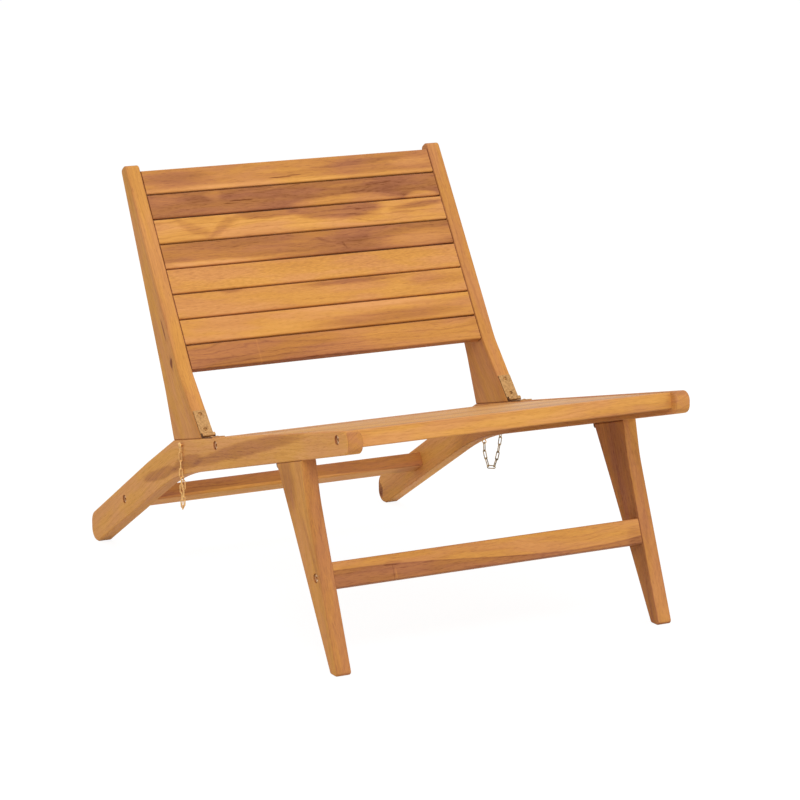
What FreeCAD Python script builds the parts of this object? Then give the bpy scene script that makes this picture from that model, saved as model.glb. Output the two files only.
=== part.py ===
import FreeCAD, Part
import collections
import math
import os

os.makedirs("parts", exist_ok=True)

# Folding low chair of slatted hardwood. Millimetres, +Z up, the sitter faces -Y, X runs across.
# The origin is on the floor, under the middle of the chair's box.

# overall sizes
overall_width = 560.0
overall_length = 950.0
board_thickness = 24.0
edge_round = 2.5

# how far a cutting tool runs past the face it starts from
cut_over = 1.0

# side rail, one board from the front end over the bend down to the rear foot
seat_front_height = 365.5
seat_slope_deg = 12.25
bend_from_front = 602.5
heel_corner_height = 41.5
rail_depth_front = 33.0
rail_depth_taper_deg = 1.98
rear_leg_width = 49.0
rail_front_corner_radius = 14.0
rail_bend_radius = 8.0
rail_underside_radius = 540.0
heel_line_knee_from_bend = 120.0
heel_line_knee_rise = 2.2
heel_line_knee_radius = 300.0
heel_upper_radius = 22.0
heel_lower_radius = 19.0
toe_radius = 3.0

# front leg
leg_top_front_from_front = 148.3
leg_top_width = 83.5
leg_front_knee_from_front = 135.6
leg_front_knee_height = 240.5
leg_foot_from_front = 42.5
leg_foot_width = 22.9
leg_rear_knee_from_front = 178.7
leg_rear_knee_height = 188.0
leg_front_knee_radius = 220.0
leg_rear_knee_radius = 320.0
foot_corner_radius = 5.0

# back rest stile
stile_foot_rear_before_bend = 1.5
stile_foot_length = 106.0
stile_low_lean_deg = 42.0
stile_low_length = 120.8
back_lean_deg = 32.52
stile_tip_beyond_slats = 12.0
panel_above_low_bend = 1.1
stile_tip_width = 19.4
stile_tip_radius = 7.0
stile_front_bend_radius = 120.0
stile_rear_knee_back = 29.9
stile_rear_knee_up = 74.6
stile_rear_knee_radius = 180.0

# slats of the back
back_slat_count = 8
back_slat_width = 40.41
back_slat_gap = 2.42
back_slat_thickness = 15.0
back_slat_recess = 1.0

# boards of the seat, counted from the front; the first and one near the back are bolted rails
seat_board_count = 12
seat_rear_rail_index = 10
seat_board_gap = 2.5
seat_first_board_from_front = 17.7
seat_last_board_before_bend = 97.1
seat_board_drop = 1.0
seat_slat_thickness = 15.0
seat_rail_depth = 24.0
seat_bolt_depth = 11.3

# stub tenons and their mortises
tenon_end_before_middle = 2.0
tenon_thickness = 8.0
tenon_edge_step = 4.0
mortise_side_clearance = 0.15
mortise_end_clearance = 0.6

# stretchers
stretcher_thickness = 24.0
rear_stretcher_width = 36.0
front_stretcher_width = 38.0
rear_stretcher_from_heel_line = 21.7
rear_stretcher_from_bend = 244.4
front_stretcher_height = 135.3
front_stretcher_recess = 1.5

# connector bolts and barrel nuts
counterbore_radius = 7.0
counterbore_depth = 5.5
bolt_radius = 3.0
bolt_hole_clearance = 0.25
bolt_head_radius = 6.3
bolt_head_height = 3.5
bolt_socket_across = 5.0
bolt_socket_depth = 2.5
bolt_length = 54.0
bolt_hole_end_clearance = 3.0
nut_radius = 5.0
nut_length = 16.0
nut_hole_clearance = 0.15
nut_thread_clearance = 0.1
nut_from_end = 30.0
nut_hole_end_clearance = 0.5

# hinges
back_hinge_side_margin = 1.5
leg_hinge_side_margin = 3.0
hinge_pin_radius = 1.5
hinge_pin_clearance = 0.05
hinge_segment_gap = 0.3
hinge_knuckle_gap = 0.4
hinge_pin_end_margin = 0.3
back_knuckle_radius = 4.0
back_leaf_thickness = 1.6
back_rail_leaf_length = 38.0
back_stile_leaf_length = 46.0
back_leaf_standoff = 4.3
leg_knuckle_radius = 3.2
leg_leaf_thickness = 1.4
leg_leaf_length = 32.0
leg_leaf_standoff = 3.5
leg_leaf_inset = 2.8
leaf_pocket_clearance = 0.3
leaf_screw_first = 13.0
leaf_screw_end_margin = 6.0

# wood screws
screw_shank_radius = 1.6
screw_shank_length = 16.0
screw_hole_clearance = 0.15
screw_hole_end_clearance = 1.5
screw_head_radius = 3.4
screw_head_height = 1.3
screw_slot_width = 0.9
screw_slot_depth = 0.6
screw_slot_share = 0.55

# chains, each from a screw on the outer face to a screw eye in the lower edge
chain_screw_from_bend = 35.0
chain_screw_depth = 8.5
chain_screw_radius = 1.5
chain_screw_length = 16.0
chain_screw_head_radius = 4.6
chain_screw_head_height = 2.8
chain_link_length = 16.5
chain_link_width = 6.2
chain_wire = 1.6
chain_link_clearance = 0.3
chain_face_clearance = 0.35
chain_hook_clearance = 0.15
chain_edge_clearance = 4.0
chain_eye_drop = 15.0
chain_low_share = 0.58
chain_link_pairs = 5
chain_twist_links = 4
eye_from_bend = 8.5
eye_ring_radius = 3.3
eye_shank_radius = 1.1
eye_shank_length = 14.0
eye_ring_gap = 0.8

# derived positions
seat_slope = math.radians(seat_slope_deg)
under_slope = math.radians(seat_slope_deg + rail_depth_taper_deg)
half_width = overall_width / 2.0
inner_half = half_width - board_thickness
y_front = -overall_length / 2.0
y_back = overall_length / 2.0
y_bend = y_front + bend_from_front
along_bend = bend_from_front / math.cos(seat_slope)
back_hinge_width = board_thickness - 2.0 * back_hinge_side_margin
leg_hinge_width = board_thickness - 2.0 * leg_hinge_side_margin
tenon_length = board_thickness / 2.0 - tenon_end_before_middle

# the seat boards fill the length from the first one to the last one with even gaps
seat_field_length = along_bend - seat_last_board_before_bend - seat_first_board_from_front
seat_board_pitch = (seat_field_length + seat_board_gap) / seat_board_count
seat_board_width = seat_board_pitch - seat_board_gap


def top_z(y):
    """Height of the side rail's upper edge in front of the bend."""
    return seat_front_height - math.tan(seat_slope) * (y - y_front)


def under_z(y):
    """Height of the side rail's lower edge in front of the bend."""
    start = seat_front_height - rail_depth_front / math.cos(seat_slope)
    return start - math.tan(under_slope) * (y - y_front)


def on_rail(along, depth):
    """Point (y, z) measured along the rail's upper edge from the front, and down square to it."""
    y = y_front + along * math.cos(seat_slope) - depth * math.sin(seat_slope)
    z = seat_front_height - along * math.sin(seat_slope) - depth * math.cos(seat_slope)
    return (y, z)


def crossing(p, p_dir, q, q_dir):
    """Point where two lines of the side view cross."""
    det = p_dir[0] * q_dir[1] - p_dir[1] * q_dir[0]
    k = ((q[0] - p[0]) * q_dir[1] - (q[1] - p[1]) * q_dir[0]) / det
    return (p[0] + k * p_dir[0], p[1] + k * p_dir[1])


def unit(p, q):
    """Unit direction from p to q in the side view."""
    length = math.hypot(q[0] - p[0], q[1] - p[1])
    return ((q[0] - p[0]) / length, (q[1] - p[1]) / length)


def step(p, direction, distance):
    """Point a distance away from p."""
    return (p[0] + direction[0] * distance, p[1] + direction[1] * distance)


def vec(x, p):
    """Space point from an x value and a side view point."""
    return FreeCAD.Vector(x, p[0], p[1])


def outline_wire(corners, x):
    """Closed wire through corners (point, radius), each corner rounded by its radius."""
    count = len(corners)
    edges = []
    last = None
    first = None
    for i in range(count):
        point, radius = corners[i]
        before = corners[i - 1][0]
        after = corners[(i + 1) % count][0]
        back = unit(point, before)
        ahead = unit(point, after)
        if radius > 0.0:
            half = math.acos(max(-1.0, min(1.0, back[0] * ahead[0] + back[1] * ahead[1]))) / 2.0
            reach = radius / math.tan(half)
            start = step(point, back, reach)
            end = step(point, ahead, reach)
            middle_dir = unit(point, (point[0] + back[0] + ahead[0], point[1] + back[1] + ahead[1]))
            middle = step(point, middle_dir, radius / math.sin(half) - radius)
        else:
            start = point
            end = point
            middle = None
        if last is not None:
            edges.append(Part.makeLine(vec(x, last), vec(x, start)))
        else:
            first = start
        if middle is not None:
            edges.append(Part.Arc(vec(x, start), vec(x, middle), vec(x, end)).toShape())
        last = end
    edges.append(Part.makeLine(vec(x, last), vec(x, first)))
    return Part.Wire(edges)


def board(corners, x_low):
    """Board cut to an outline, with its long edges rounded on both faces."""
    face = Part.Face(outline_wire(corners, x_low))
    solid = face.extrude(FreeCAD.Vector(board_thickness, 0, 0))
    rim = []
    for edge in solid.Edges:
        xs = [v.Point.x for v in edge.Vertexes]
        if max(xs) - min(xs) < 0.001:
            rim.append(edge)
    return solid.makeFillet(edge_round, rim)


def bar(length, width, depth, round_radius):
    """Bar along X, centred on the origin, width along Y and depth along Z, long edges rounded."""
    solid = Part.makeBox(length, width, depth, FreeCAD.Vector(-length / 2.0, -width / 2.0, -depth / 2.0))
    long_edges = []
    for edge in solid.Edges:
        a = edge.Vertexes[0].Point
        b = edge.Vertexes[-1].Point
        if abs(a.x - b.x) > length * 0.9:
            long_edges.append(edge)
    return solid.makeFillet(round_radius, long_edges)


def placed(shape, centre, angle):
    """Copy turned about X and moved to a side view point."""
    copy = shape.copy()
    turn = FreeCAD.Rotation(FreeCAD.Vector(1, 0, 0), math.degrees(angle))
    copy.Placement = FreeCAD.Placement(vec(0.0, centre), turn)
    return copy


def rod(x, centre, direction, radius, length):
    """Cylinder from a point, along any direction given as a vector."""
    return Part.makeCylinder(radius, length, vec(x, centre), direction)


def side_sign(side):
    """-1 on the left, seen from the front, and 1 on the right."""
    return -1.0 if side == "left" else 1.0


def save(shapes, node):
    """Write one node, made of one or more separate solids."""
    if len(shapes) == 1:
        shape = shapes[0]
    else:
        shape = Part.makeCompound(shapes)
    shape.exportStep("parts/" + node + ".step")


SIDES = ("left", "right")

# side view of the rail
bend_point = (y_bend, top_z(y_bend))
leg_slope = math.atan2(bend_point[1] - heel_corner_height, y_back - y_bend)
leg_dir = (math.cos(leg_slope), -math.sin(leg_slope))
leg_in = (-math.sin(leg_slope), -math.cos(leg_slope))
under_dir = (math.cos(under_slope), -math.sin(under_slope))
leg_low_start = step(bend_point, leg_in, rear_leg_width)
heel_line_knee = step(step(bend_point, leg_dir, heel_line_knee_from_bend), leg_in, -heel_line_knee_rise)
heel_top = crossing(bend_point, leg_dir, (y_back, 0.0), (0.0, 1.0))
toe_point = crossing(leg_low_start, leg_dir, (0.0, 0.0), (1.0, 0.0))
under_corner = crossing((y_front, under_z(y_front)), under_dir, leg_low_start, leg_dir)
rail_corners = [
    ((y_front, seat_front_height), rail_front_corner_radius),
    (bend_point, rail_bend_radius),
    (heel_line_knee, heel_line_knee_radius),
    (heel_top, heel_upper_radius),
    ((y_back, 0.0), heel_lower_radius),
    (toe_point, toe_radius),
    (under_corner, rail_underside_radius),
    ((y_front, under_z(y_front)), rail_front_corner_radius),
]

# side view of the front leg
leg_top_front = (y_front + leg_top_front_from_front, under_z(y_front + leg_top_front_from_front))
leg_top_rear_y = leg_top_front[0] + leg_top_width
leg_top_rear = (leg_top_rear_y, under_z(leg_top_rear_y))
leg_front_knee = (y_front + leg_front_knee_from_front, leg_front_knee_height)
leg_rear_knee = (y_front + leg_rear_knee_from_front, leg_rear_knee_height)
leg_foot_front = (y_front + leg_foot_from_front, 0.0)
leg_foot_rear = (leg_foot_front[0] + leg_foot_width, 0.0)
leg_corners = [
    (leg_top_front, 0.0),
    (leg_top_rear, 0.0),
    (leg_rear_knee, leg_rear_knee_radius),
    (leg_foot_rear, foot_corner_radius),
    (leg_foot_front, foot_corner_radius),
    (leg_front_knee, leg_front_knee_radius),
]

# side view of the stile
rail_ahead = (-math.cos(seat_slope), math.sin(seat_slope))
stile_foot_rear = on_rail(along_bend - stile_foot_rear_before_bend, 0.0)
stile_foot_front = step(stile_foot_rear, rail_ahead, stile_foot_length)
low_lean = math.radians(stile_low_lean_deg)
stile_low_dir = (math.sin(low_lean), math.cos(low_lean))
back_lean = math.radians(back_lean_deg)
back_up = (math.sin(back_lean), math.cos(back_lean))
back_out = (-math.cos(back_lean), math.sin(back_lean))
panel_start = step(stile_foot_front, stile_low_dir, stile_low_length)
panel_length = back_slat_count * back_slat_width + (back_slat_count - 1) * back_slat_gap
panel_low = step(panel_start, back_up, panel_above_low_bend)
stile_tip_front = step(panel_low, back_up, panel_length + stile_tip_beyond_slats)
stile_tip_rear = step(stile_tip_front, back_out, -stile_tip_width)
stile_rear_knee = (stile_foot_rear[0] + stile_rear_knee_back, stile_foot_rear[1] + stile_rear_knee_up)
stile_corners = [
    (stile_foot_front, 0.0),
    (stile_foot_rear, 0.0),
    (stile_rear_knee, stile_rear_knee_radius),
    (stile_tip_rear, stile_tip_radius),
    (stile_tip_front, stile_tip_radius),
    (panel_start, stile_front_bend_radius),
]


def hinge_axis(corner, dir_a, dir_b, standoff):
    """Pin position that stands the same distance off both faces that meet at a corner."""
    middle = (dir_a[0] + dir_b[0], dir_a[1] + dir_b[1])
    middle_dir = unit((0.0, 0.0), middle)
    cosine = dir_a[0] * dir_b[0] + dir_a[1] * dir_b[1]
    half = math.acos(max(-1.0, min(1.0, cosine))) / 2.0
    return step(corner, middle_dir, standoff / math.sin(half))


leg_rear_dir = unit(leg_top_rear, leg_rear_knee)
back_pin = hinge_axis(stile_foot_front, rail_ahead, stile_low_dir, back_leaf_standoff)
leg_pin = hinge_axis(leg_top_rear, under_dir, leg_rear_dir, leg_leaf_standoff)

# the four kinds of hinge leaf; inset is how deep a leaf is let into the wood
Leaf = collections.namedtuple(
    "Leaf", "pin corner direction knuckle_radius thickness length width inset outer_segments")
back_rail_leaf = Leaf(back_pin, stile_foot_front, rail_ahead, back_knuckle_radius, back_leaf_thickness,
                      back_rail_leaf_length, back_hinge_width, 0.0, True)
back_stile_leaf = Leaf(back_pin, stile_foot_front, stile_low_dir, back_knuckle_radius, back_leaf_thickness,
                       back_stile_leaf_length, back_hinge_width, 0.0, False)
leg_rail_leaf = Leaf(leg_pin, leg_top_rear, under_dir, leg_knuckle_radius, leg_leaf_thickness,
                     leg_leaf_length, leg_hinge_width, leg_leaf_inset, True)
leg_leg_leaf = Leaf(leg_pin, leg_top_rear, leg_rear_dir, leg_knuckle_radius, leg_leaf_thickness,
                    leg_leaf_length, leg_hinge_width, 0.0, False)


def leaf_ground(kind):
    """Point on the wood square under the pin where a leaf starts, and the direction off the wood."""
    reach = ((kind.pin[0] - kind.corner[0]) * kind.direction[0]
             + (kind.pin[1] - kind.corner[1]) * kind.direction[1])
    foot = step(kind.corner, kind.direction, reach)
    air = unit(foot, kind.pin)
    return step(foot, air, -kind.inset), air


def leaf_block(kind, x_start, x_size, start, end, height):
    """Block on the wood under a leaf, between two distances from the square under the pin."""
    foot, air = leaf_ground(kind)
    p = step(foot, kind.direction, start)
    q = step(foot, kind.direction, end)
    ring = [vec(x_start, p), vec(x_start, q), vec(x_start, step(q, air, height)),
            vec(x_start, step(p, air, height)), vec(x_start, p)]
    return Part.Face(Part.makePolygon(ring)).extrude(FreeCAD.Vector(x_size, 0, 0))


def leaf_pocket(x_mid, kind):
    """Room in the wood for a leaf that is let in."""
    size_x = kind.width + 2.0 * leaf_pocket_clearance
    return leaf_block(kind, x_mid - size_x / 2.0, size_x, -leaf_pocket_clearance,
                      kind.length + leaf_pocket_clearance, kind.inset + cut_over)


def screw_places(kind):
    """Distances of a leaf's two screws from the square under the pin."""
    return (leaf_screw_first, kind.length - leaf_screw_end_margin)


def leaf(x_mid, kind):
    """Hinge leaf lying on the wood, with its rolled segments round the pin."""
    foot, air = leaf_ground(kind)
    x_low = x_mid - kind.width / 2.0
    third = kind.width / 3.0
    side_size = third - hinge_segment_gap
    if kind.outer_segments:
        own = [(x_low, side_size), (x_low + kind.width - side_size, side_size)]
    else:
        own = [(x_low + third, third)]
    clear = kind.knuckle_radius + hinge_knuckle_gap
    root_height = kind.thickness
    if kind.inset > 0.0:
        root_height = math.dist(foot, kind.pin)
    shape = leaf_block(kind, x_low, kind.width, clear, kind.length, kind.thickness)
    along_x = FreeCAD.Vector(1, 0, 0)
    for x_start, x_size in own:
        barrel = Part.makeCylinder(kind.knuckle_radius, x_size, vec(x_start, kind.pin), along_x)
        root = leaf_block(kind, x_start, x_size, 0.0, clear, root_height)
        shape = shape.fuse([barrel, root])
    bore = Part.makeCylinder(hinge_pin_radius + hinge_pin_clearance, kind.width + 2.0 * cut_over,
                             vec(x_low - cut_over, kind.pin), along_x)
    shape = shape.cut(bore)
    for place in screw_places(kind):
        spot = step(step(foot, kind.direction, place), air, -cut_over)
        hole = rod(x_mid, spot, FreeCAD.Vector(0, air[0], air[1]),
                   screw_shank_radius + screw_hole_clearance, kind.thickness + 2.0 * cut_over)
        shape = shape.cut(hole)
    return shape.removeSplitter()


def hinge_pin(x_mid, kind):
    """Pin of one hinge, a little longer than the leaves are wide."""
    length = kind.width + 2.0 * hinge_pin_end_margin
    return Part.makeCylinder(hinge_pin_radius, length, vec(x_mid - length / 2.0, kind.pin),
                             FreeCAD.Vector(1, 0, 0))


def domed_head(x, spot, out, radius, height):
    """Round screw head on a point, its flat side towards the wood, with a crossed slot."""
    ball_radius = (radius * radius + height * height) / (2.0 * height)
    direction = FreeCAD.Vector(out[0], out[1], out[2])
    seat = FreeCAD.Vector(x, spot[0], spot[1])
    ball = Part.makeSphere(ball_radius, seat - direction * (ball_radius - height))
    disc = Part.makeCylinder(radius, height * 1.5, seat, direction)
    head = ball.common(disc)
    for turn in (45.0, 135.0):
        half_slot = radius * screw_slot_share
        slot = Part.makeBox(2.0 * half_slot, screw_slot_width, screw_slot_depth * 2.0,
                            FreeCAD.Vector(-half_slot, -screw_slot_width / 2.0, 0.0))
        slot.rotate(FreeCAD.Vector(0, 0, 0), FreeCAD.Vector(0, 0, 1), turn)
        to_out = FreeCAD.Rotation(FreeCAD.Vector(0, 0, 1), direction)
        on_top = FreeCAD.Placement(seat + direction * (height - screw_slot_depth), to_out)
        slot.Placement = on_top.multiply(slot.Placement)
        head = head.cut(slot)
    return head


def leaf_screws(x_mid, kind):
    """The two wood screws of one leaf."""
    foot, air = leaf_ground(kind)
    made = []
    for place in screw_places(kind):
        spot = step(step(foot, kind.direction, place), air, kind.thickness)
        head = domed_head(x_mid, spot, (0.0, air[0], air[1]), screw_head_radius, screw_head_height)
        shank = rod(x_mid, spot, FreeCAD.Vector(0, -air[0], -air[1]), screw_shank_radius, screw_shank_length)
        made.append(head.fuse(shank).removeSplitter())
    return made


def leaf_screw_holes(x_mid, kind):
    """Pilot holes in the wood under one leaf, as a list of cylinders."""
    foot, air = leaf_ground(kind)
    made = []
    for place in screw_places(kind):
        spot = step(step(foot, kind.direction, place), air, cut_over)
        made.append(rod(x_mid, spot, FreeCAD.Vector(0, -air[0], -air[1]),
                        screw_shank_radius + screw_hole_clearance,
                        cut_over + screw_shank_length + screw_hole_end_clearance - kind.thickness))
    return made


def bolt(sign, centre):
    """Socket head bolt whose head sits in a side board's counterbore."""
    inward = FreeCAD.Vector(-sign, 0, 0)
    seat_x = sign * (half_width - counterbore_depth)
    outward = FreeCAD.Vector(sign, 0, 0)
    head = Part.makeCylinder(bolt_head_radius, bolt_head_height, vec(seat_x, centre), outward)
    shank = Part.makeCylinder(bolt_radius, bolt_length, vec(seat_x, centre), inward)
    corner_radius = bolt_socket_across / math.sqrt(3.0)
    top_x = seat_x + sign * bolt_head_height
    ring = []
    for i in range(7):
        angle = math.radians(60.0 * i)
        ring.append(vec(top_x, (centre[0] + corner_radius * math.cos(angle),
                                centre[1] + corner_radius * math.sin(angle))))
    socket = Part.Face(Part.makePolygon(ring)).extrude(FreeCAD.Vector(-sign * bolt_socket_depth, 0, 0))
    return head.fuse(shank).cut(socket).removeSplitter()


def bolt_space(sign, centre):
    """Counterbore and through hole of one bolt in a side board."""
    inward = FreeCAD.Vector(-sign, 0, 0)
    outer = Part.makeCylinder(counterbore_radius, counterbore_depth + cut_over,
                              vec(sign * (half_width + cut_over), centre), inward)
    through = Part.makeCylinder(bolt_radius + bolt_hole_clearance, board_thickness + 2.0 * cut_over,
                                vec(sign * (half_width + cut_over), centre), inward)
    return [outer, through]


def nut(sign, centre, angle):
    """Barrel nut lying square to the bolt inside a cross member."""
    x = sign * (inner_half - nut_from_end)
    up = (-math.sin(angle), math.cos(angle))
    start = step(centre, up, -nut_length / 2.0)
    body = rod(x, start, FreeCAD.Vector(0, up[0], up[1]), nut_radius, nut_length)
    bore = Part.makeCylinder(bolt_radius + nut_thread_clearance, 4.0 * nut_radius,
                             vec(x - 2.0 * nut_radius, centre), FreeCAD.Vector(1, 0, 0))
    return body.cut(bore)


def member_holes(sign, centre, angle, from_low_face):
    """Bolt hole and barrel nut hole in one end of a cross member."""
    inward = FreeCAD.Vector(-sign, 0, 0)
    depth = bolt_length - (board_thickness - counterbore_depth) + bolt_hole_end_clearance
    bolt_hole = Part.makeCylinder(bolt_radius + bolt_hole_clearance, depth + cut_over,
                                  vec(sign * (inner_half + cut_over), centre), inward)
    up = (-math.sin(angle), math.cos(angle))
    x = sign * (inner_half - nut_from_end)
    above = nut_length / 2.0 + nut_hole_end_clearance
    nut_hole = rod(x, step(centre, up, above), FreeCAD.Vector(0, -up[0], -up[1]),
                   nut_radius + nut_hole_clearance, above + from_low_face + cut_over)
    return [bolt_hole, nut_hole]


def cross_member(centre, angle, width, depth, bolt_up):
    """Bolted bar between the two side boards, and the side view point of its bolts."""
    solid = placed(bar(2.0 * inner_half, width, depth, edge_round), centre, angle)
    up = (-math.sin(angle), math.cos(angle))
    bolt_centre = step(centre, up, bolt_up)
    for sign in (-1.0, 1.0):
        for hole in member_holes(sign, bolt_centre, angle, depth / 2.0 + bolt_up):
            solid = solid.cut(hole)
    return solid, bolt_centre


def slat(centre, angle, width, thickness):
    """Slat with a stub tenon at each end."""
    solid = bar(2.0 * inner_half, width, thickness, edge_round)
    tenon = Part.makeBox(2.0 * (inner_half + tenon_length), width - 2.0 * tenon_edge_step, tenon_thickness,
                         FreeCAD.Vector(-(inner_half + tenon_length), -width / 2.0 + tenon_edge_step,
                                        -tenon_thickness / 2.0))
    return placed(solid.fuse(tenon).removeSplitter(), centre, angle)


def mortise(sign, centre, angle, width):
    """Pocket for one stub tenon in a side board's inner face."""
    size_x = tenon_length + mortise_end_clearance + cut_over
    size_y = width - 2.0 * tenon_edge_step + 2.0 * mortise_side_clearance
    size_z = tenon_thickness + 2.0 * mortise_side_clearance
    x_low = sign * (inner_half - cut_over)
    if sign < 0.0:
        x_low = x_low - size_x
    pocket = Part.makeBox(size_x, size_y, size_z, FreeCAD.Vector(x_low, -size_y / 2.0, -size_z / 2.0))
    return placed(pocket, centre, angle)


def link(centre, axis, normal):
    """Chain link of round wire: its long way lies along axis, its flat side faces normal."""
    wire_radius = chain_wire / 2.0
    bend = (chain_link_width - chain_wire) / 2.0
    straight = chain_link_length - chain_wire - 2.0 * bend
    third = axis.cross(normal)
    half = axis * (straight / 2.0)
    a = centre + half + third * bend
    b = centre + half + axis * bend
    c = centre + half - third * bend
    d = centre - half - third * bend
    e = centre - half - axis * bend
    f = centre - half + third * bend
    path = Part.Wire([Part.Arc(a, b, c).toShape(), Part.makeLine(c, d),
                      Part.Arc(d, e, f).toShape(), Part.makeLine(f, a)])
    profile = Part.Wire([Part.Circle(a, axis, wire_radius).toShape()])
    return path.makePipeShell([profile], True, False)


# places of the seat boards, as (centre, depth of board)
seat_boards = []
for index in range(seat_board_count):
    is_rail = index in (0, seat_rear_rail_index)
    depth = seat_rail_depth if is_rail else seat_slat_thickness
    along = seat_first_board_from_front + seat_board_width / 2.0 + index * seat_board_pitch
    seat_boards.append((on_rail(along, seat_board_drop + depth / 2.0), depth, is_rail))

# places of the back slats, counted from the top
back_angle = math.pi / 2.0 - back_lean
back_slats = []
for index in range(back_slat_count):
    from_top = index * (back_slat_width + back_slat_gap) + back_slat_width / 2.0
    along = panel_length - from_top
    face_point = step(panel_low, back_up, along)
    back_slats.append(step(face_point, back_out, -(back_slat_recess + back_slat_thickness / 2.0)))

# cross members and their bolts
frame_bolt_places = []
seat_slat_number = 0
for centre, depth, is_rail in seat_boards:
    if is_rail:
        bolt_up = seat_board_drop + depth / 2.0 - seat_bolt_depth
        member, bolt_centre = cross_member(centre, -seat_slope, seat_board_width, depth, bolt_up)
        frame_bolt_places.append((bolt_centre, -seat_slope))
        name = "seat_front_rail" if len(frame_bolt_places) == 1 else "seat_rear_rail"
        save([member], name)
    else:
        seat_slat_number = seat_slat_number + 1
        save([slat(centre, -seat_slope, seat_board_width, depth)], "seat_slat_" + str(seat_slat_number))

rear_centre = step(step(bend_point, leg_dir, rear_stretcher_from_bend), leg_in, rear_stretcher_from_heel_line)
rear_angle = math.pi - leg_slope
rear_stretcher, rear_bolt_centre = cross_member(rear_centre, rear_angle, rear_stretcher_width,
                                                stretcher_thickness, 0.0)
frame_bolt_places.append((rear_bolt_centre, rear_angle))
save([rear_stretcher], "rear_stretcher")

front_edge_dir = unit(leg_foot_front, leg_front_knee)
front_edge_in = (front_edge_dir[1], -front_edge_dir[0])
front_mid = step(leg_foot_front, front_edge_dir, front_stretcher_height / front_edge_dir[1])
front_centre = step(front_mid, front_edge_in, front_stretcher_recess + stretcher_thickness / 2.0)
front_angle = math.atan2(front_edge_dir[1], front_edge_dir[0])
front_stretcher, front_bolt_centre = cross_member(front_centre, front_angle, front_stretcher_width,
                                                  stretcher_thickness, 0.0)
save([front_stretcher], "front_stretcher")

# chain places: each chain hangs in an upright plane from its screw to its eye
chain_y = y_bend - chain_screw_from_bend
chain_top = (chain_y, top_z(chain_y) - chain_screw_depth)
wire_radius = chain_wire / 2.0
link_bend = (chain_link_width - chain_wire) / 2.0
tip_to_tip = chain_link_length - chain_wire
cross_gap = chain_wire + chain_link_clearance
strand_off = chain_link_width / 2.0 + chain_face_clearance
strand_x = half_width + strand_off
eye_x = half_width - board_thickness / 2.0
eye_y = y_bend - eye_from_bend
span = math.hypot(strand_x - eye_x, eye_y - chain_y)
hook = chain_screw_radius + wire_radius + chain_hook_clearance
flat_pin = tip_to_tip - 2.0 * link_bend
edge_pin = tip_to_tip + 2.0 * (link_bend - cross_gap)
edge_reach = (edge_pin - tip_to_tip) / 2.0
chain_start_z = chain_top[1] + hook - tip_to_tip + link_bend
chain_edge_z = under_z(chain_y) - chain_edge_clearance
chain_lengths = [edge_pin]
for pair in range(chain_link_pairs):
    chain_lengths.append(flat_pin)
    chain_lengths.append(edge_pin)


def chain_path(distance, low_z):
    """Point (h, z) on the way of the chain: down the outer face, two half parabolas, up to the eye."""
    drop = chain_start_z - chain_edge_z
    if distance <= drop:
        return (0.0, chain_start_z - distance)
    bag = (chain_edge_z - low_z) + (chain_rise_z - low_z)
    share = (distance - drop) / bag
    if share <= chain_low_share:
        return (span * share, low_z + (chain_edge_z - low_z) * (1.0 - share / chain_low_share) ** 2)
    if share <= 1.0:
        rise = (share - chain_low_share) / (1.0 - chain_low_share)
        return (span * share, low_z + (chain_rise_z - low_z) * rise ** 2)
    return (span, chain_rise_z + distance - drop - bag)


def walk_chain(low_z):
    """Points where the links hang in each other, walking the way in steps of one link."""
    joints = [chain_path(0.0, low_z)]
    reached = 0.0
    for length in chain_lengths:
        low = reached
        high = reached + 3.0 * length
        here = joints[-1]
        for trial in range(50):
            middle = (low + high) / 2.0
            there = chain_path(middle, low_z)
            if math.hypot(there[0] - here[0], there[1] - here[1]) < length:
                low = middle
            else:
                high = middle
        reached = low
        joints.append(chain_path(low, low_z))
    return joints


def hang_chain(end_z):
    """Joints of a chain whose last link ends at a height, found by moving its lowest point."""
    low = 0.0
    high = chain_rise_z
    for trial in range(50):
        middle = (low + high) / 2.0
        if walk_chain(middle)[-1][1] < end_z:
            low = middle
        else:
            high = middle
    return walk_chain((low + high) / 2.0)


def eye_centre_z(under):
    """Height of the middle of the eye's ring."""
    return under - eye_ring_gap - wire_radius - eye_ring_radius


def rail_under(rail, sign):
    """Height of the rail's lower edge where the eye goes in."""
    foot = FreeCAD.Vector(sign * eye_x, eye_y, 0.0)
    ray = Part.makeLine(foot, foot + FreeCAD.Vector(0, 0, top_z(eye_y)))
    return ray.common(rail).BoundBox.ZMin


def chain(sign, joints):
    """All links of one chain, as separate solids."""
    along = FreeCAD.Vector(sign * (eye_x - strand_x), eye_y - chain_y, 0)
    along.normalize()
    up = FreeCAD.Vector(0, 0, 1)
    flat_normal = up.cross(along)
    screw = FreeCAD.Vector(sign * strand_x, chain_y, 0)
    twist_total = 90.0 - math.degrees(math.atan2(eye_y - chain_y, strand_x - eye_x))
    made = [link(FreeCAD.Vector(screw.x, screw.y, chain_top[1] + hook - tip_to_tip / 2.0), up,
                 FreeCAD.Vector(1, 0, 0))]
    for i in range(len(chain_lengths)):
        a = screw + along * joints[i][0] + up * joints[i][1]
        b = screw + along * joints[i + 1][0] + up * joints[i + 1][1]
        axis = (b - a).normalize()
        left = max(0.0, 1.0 - (i + 1.0) / chain_twist_links)
        normal = flat_normal if i % 2 == 1 else axis.cross(flat_normal)
        turned = FreeCAD.Rotation(axis, sign * left * twist_total).multVec(normal)
        made.append(link((a + b) * 0.5, axis, turned))
    return made


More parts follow.
